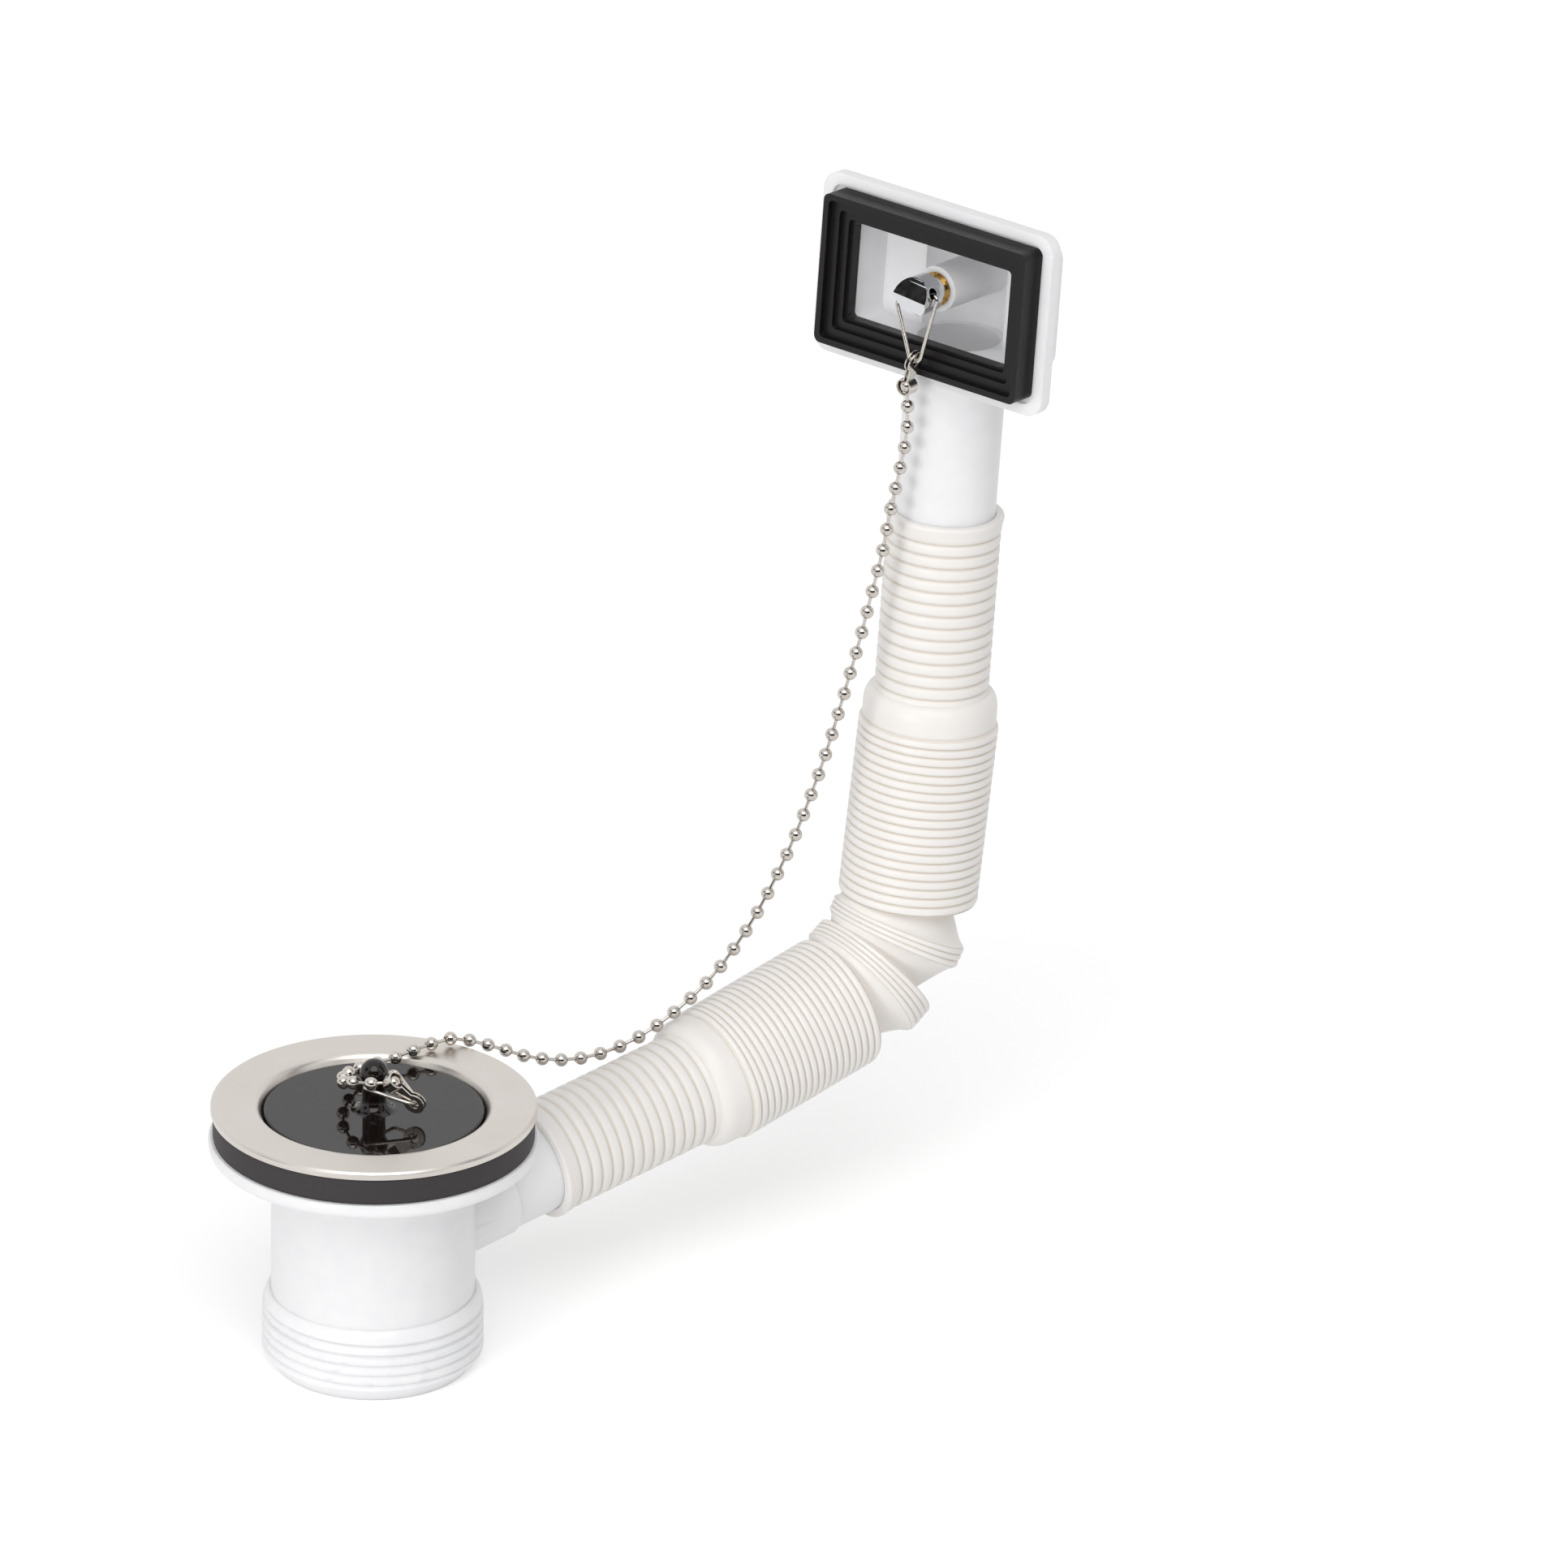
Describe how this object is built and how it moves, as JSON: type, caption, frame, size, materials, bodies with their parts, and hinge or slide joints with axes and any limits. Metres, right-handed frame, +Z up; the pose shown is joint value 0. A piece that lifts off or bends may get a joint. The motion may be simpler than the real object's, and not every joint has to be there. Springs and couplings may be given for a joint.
{
  "type": "sink waste with overflow",
  "caption": "Kitchen sink waste: steel flange, black plug on a ball chain, corrugated overflow hose rising to a rectangular overflow head.",
  "frame": {"origin": "on the waste's axis, level with the underside of the steel flange's rim, where it sits on the sink", "axes": "+Z up along the waste's axis, +X from the waste toward the overflow, +Y to the left of +X seen from above"},
  "size_m": [0.2027, 0.0708, 0.2364],
  "materials": {
    "satin_steel": "satin",
    "zinc_screw": "satin",
    "brass": "machined",
    "washer_rubber": "matt",
    "white_polypropylene": "satin",
    "hose_polyethylene": "matt",
    "black_plug": "gloss",
    "gasket_rubber": "matt",
    "chrome": "polished",
    "nickel_wire": "polished"
  },
  "bodies": {
    "root": {"sink_flange": "satin_steel", "flange_screw": "zinc_screw", "screw_insert": "brass", "sealing_washer": "washer_rubber", "waste_body": "white_polypropylene", "plug": "black_plug", "overflow_hose": "hose_polyethylene", "overflow_head": "white_polypropylene", "overflow_gasket": "gasket_rubber", "boss_bush": "brass", "overflow_screw": "chrome", "overflow_bail": "nickel_wire", "overflow_coupling": "nickel_wire", "chain_balls": "nickel_wire", "chain_links": "nickel_wire", "plug_coupling": "nickel_wire", "plug_bail": "nickel_wire"}
  },
  "joints": []
}
